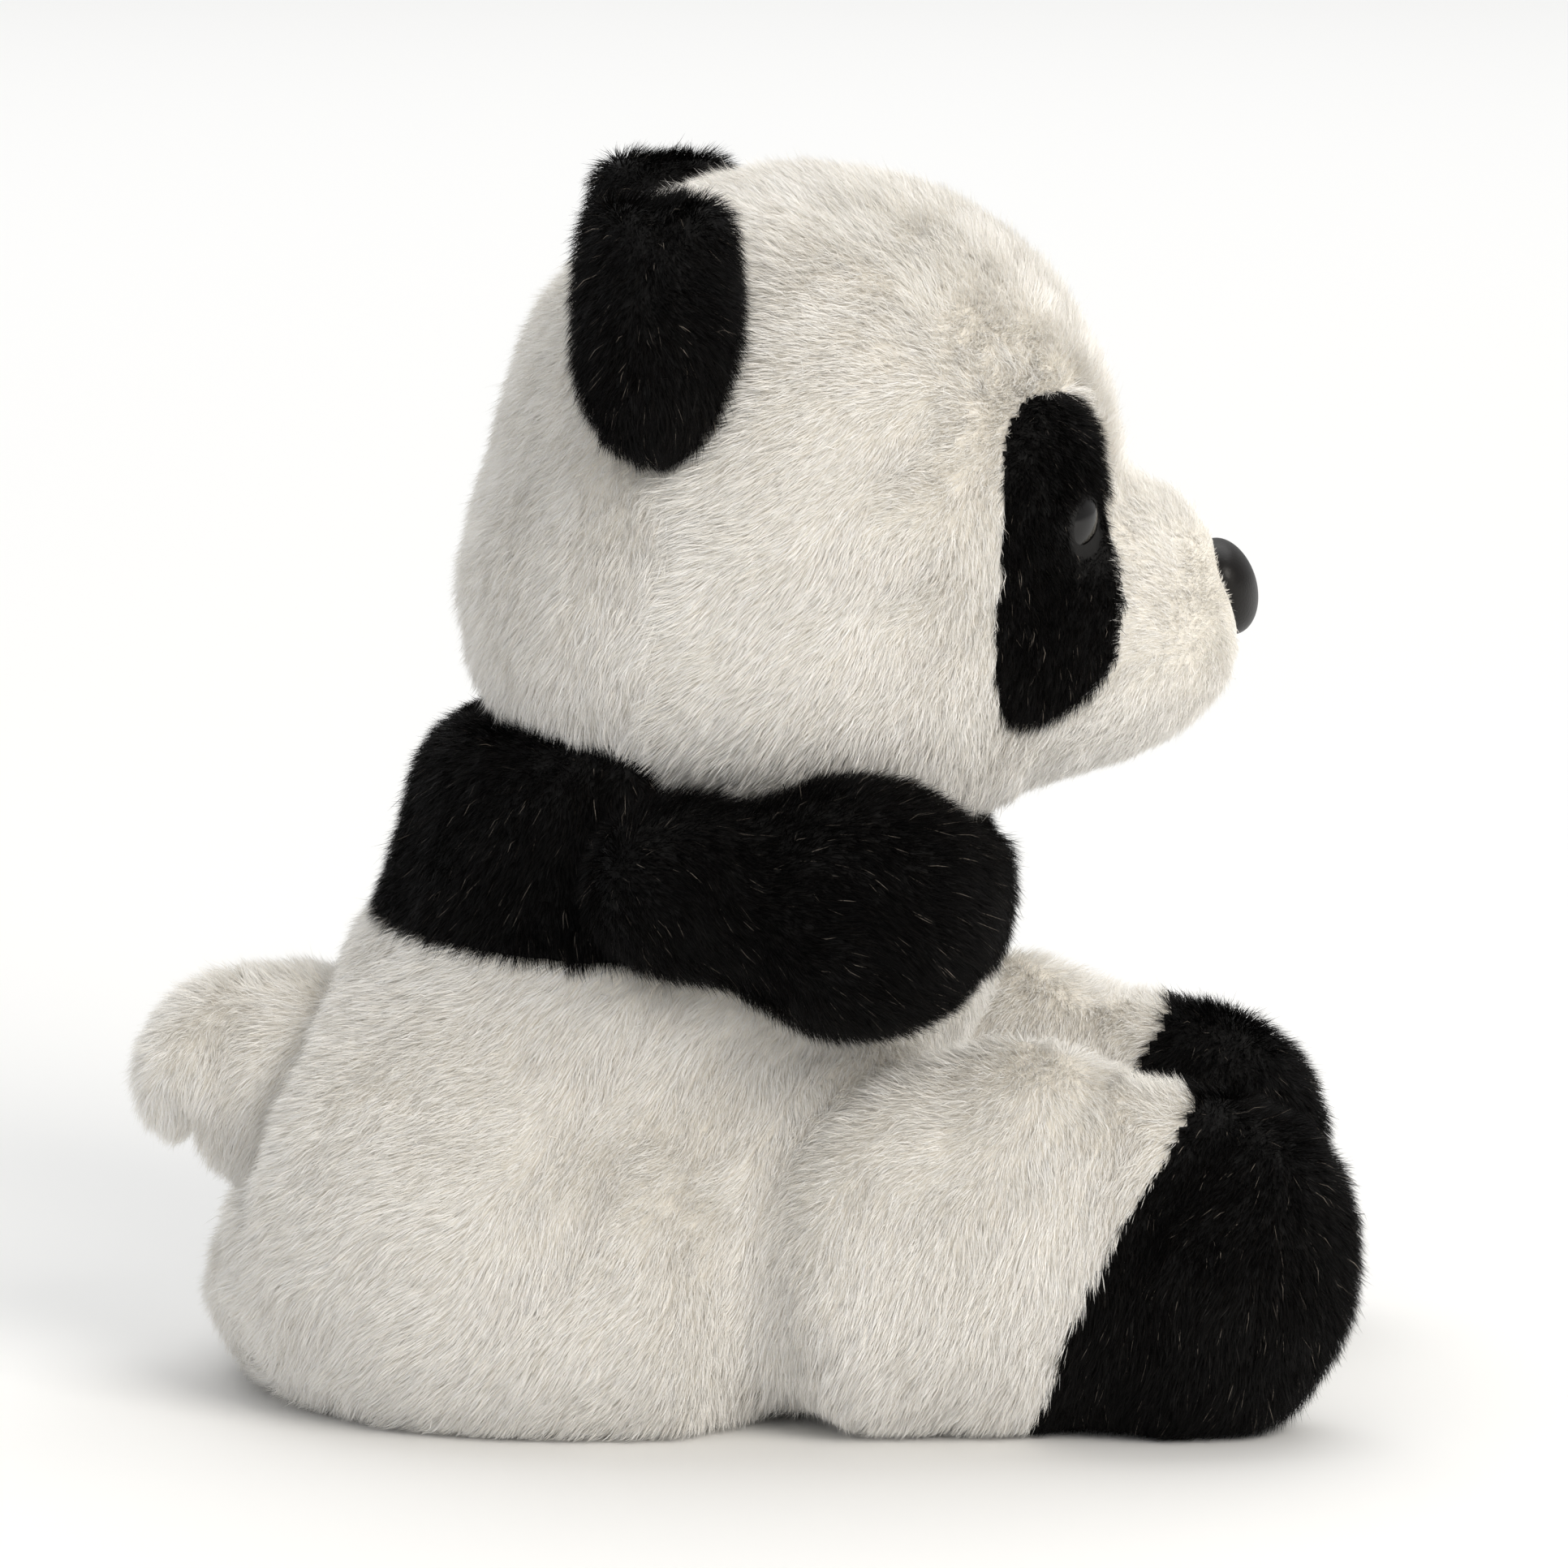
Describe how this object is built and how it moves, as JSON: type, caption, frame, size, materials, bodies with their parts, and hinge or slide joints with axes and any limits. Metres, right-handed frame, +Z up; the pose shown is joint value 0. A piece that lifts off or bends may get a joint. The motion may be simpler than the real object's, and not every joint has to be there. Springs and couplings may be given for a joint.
{
  "type": "plush panda",
  "caption": "Palm-sized sitting plush panda with black ears, arms, feet and eye patches, a bean-weighted seat, and a head, limbs, ears and tail that flex on their seams.",
  "frame": {"origin": "centre of the footprint on the surface it sits on", "axes": "+Z up, the panda looks along -Y and its left side is +X"},
  "size_m": [0.087, 0.1205, 0.1246],
  "materials": {
    "white_plush": "matte",
    "short_white_plush": "matte",
    "black_plush": "matte",
    "fibre_filling": "matte",
    "pouch_cloth": "matte",
    "bean_pellets": "satin",
    "eye_plastic": "gloss",
    "nose_plastic": "satin",
    "washer_plastic": "satin"
  },
  "bodies": {
    "torso": {"seat_panel": "white_plush", "body_left": "white_plush", "body_right": "white_plush", "shoulder_band_left": "black_plush", "shoulder_band_right": "black_plush", "torso_stuffing": "fibre_filling", "pellet_pouch": "pouch_cloth", "pellets": "bean_pellets"},
    "neck": {"neck_plug": "fibre_filling"},
    "head": {"head_back_left": "white_plush", "head_back_right": "white_plush", "head_side_left": "white_plush", "head_side_right": "white_plush", "muzzle": "short_white_plush", "chin": "short_white_plush", "eye_patch_left": "black_plush", "eye_patch_right": "black_plush", "eye_left": "eye_plastic", "eye_right": "eye_plastic", "eye_washer_left": "washer_plastic", "eye_washer_right": "washer_plastic", "nose": "nose_plastic", "nose_washer": "washer_plastic", "head_stuffing": "fibre_filling"},
    "tail": {"tail_left": "white_plush", "tail_right": "white_plush", "tail_stuffing": "fibre_filling"},
    "ear_left": {"ear_left_front": "black_plush", "ear_left_back": "black_plush", "ear_left_stuffing": "fibre_filling"},
    "arm_left": {"arm_left_outer": "black_plush", "arm_left_inner": "black_plush", "arm_left_stuffing": "fibre_filling"},
    "leg_left": {"leg_left_thigh": "white_plush", "foot_left_upper": "black_plush", "foot_left_sole": "black_plush", "leg_left_stuffing": "fibre_filling"},
    "ear_right": {"ear_right_front": "black_plush", "ear_right_back": "black_plush", "ear_right_stuffing": "fibre_filling"},
    "arm_right": {"arm_right_outer": "black_plush", "arm_right_inner": "black_plush", "arm_right_stuffing": "fibre_filling"},
    "leg_right": {"leg_right_thigh": "white_plush", "foot_right_upper": "black_plush", "foot_right_sole": "black_plush", "leg_right_stuffing": "fibre_filling"}
  },
  "joints": [
    {"name": "head_turn", "type": "hinge", "parent": "torso", "child": "neck", "pos_m": [0, -0.001, 0.076], "axis": [0, 0, 1], "range_deg": [-20, 20], "stiffness_Nm_per_rad": 0.06},
    {"name": "head_nod", "type": "hinge", "parent": "neck", "child": "head", "pos_m": [0, -0.001, 0.076], "axis": [1, 0, 0], "range_deg": [-12, 8], "stiffness_Nm_per_rad": 0.1},
    {"name": "shoulder_left", "type": "hinge", "parent": "torso", "child": "arm_left", "pos_m": [0.0335, 0.006, 0.057], "axis": [0, 0, 1], "range_deg": [0, 45], "stiffness_Nm_per_rad": 0.01},
    {"name": "hip_left", "type": "hinge", "parent": "torso", "child": "leg_left", "pos_m": [0.025, -0.014, 0.018], "axis": [0, 0, 1], "range_deg": [0, 25], "stiffness_Nm_per_rad": 0.03},
    {"name": "ear_left_flop", "type": "hinge", "parent": "head", "child": "ear_left", "pos_m": [0.0286, 0.0078, 0.1116], "axis": [0.5, 0, -0.866], "range_deg": [-20, 20], "stiffness_Nm_per_rad": 0.003},
    {"name": "shoulder_right", "type": "hinge", "parent": "torso", "child": "arm_right", "pos_m": [-0.0335, 0.006, 0.057], "axis": [0, 0, -1], "range_deg": [0, 45], "stiffness_Nm_per_rad": 0.01},
    {"name": "hip_right", "type": "hinge", "parent": "torso", "child": "leg_right", "pos_m": [-0.025, -0.014, 0.018], "axis": [0, 0, -1], "range_deg": [0, 25], "stiffness_Nm_per_rad": 0.03},
    {"name": "ear_right_flop", "type": "hinge", "parent": "head", "child": "ear_right", "pos_m": [-0.0286, 0.0078, 0.1116], "axis": [0.5, 0, 0.866], "range_deg": [-20, 20], "stiffness_Nm_per_rad": 0.003},
    {"name": "tail_wag", "type": "hinge", "parent": "torso", "child": "tail", "pos_m": [0, 0.045, 0.031], "axis": [0, 0, 1], "range_deg": [-15, 15], "stiffness_Nm_per_rad": 0.005}
  ]
}
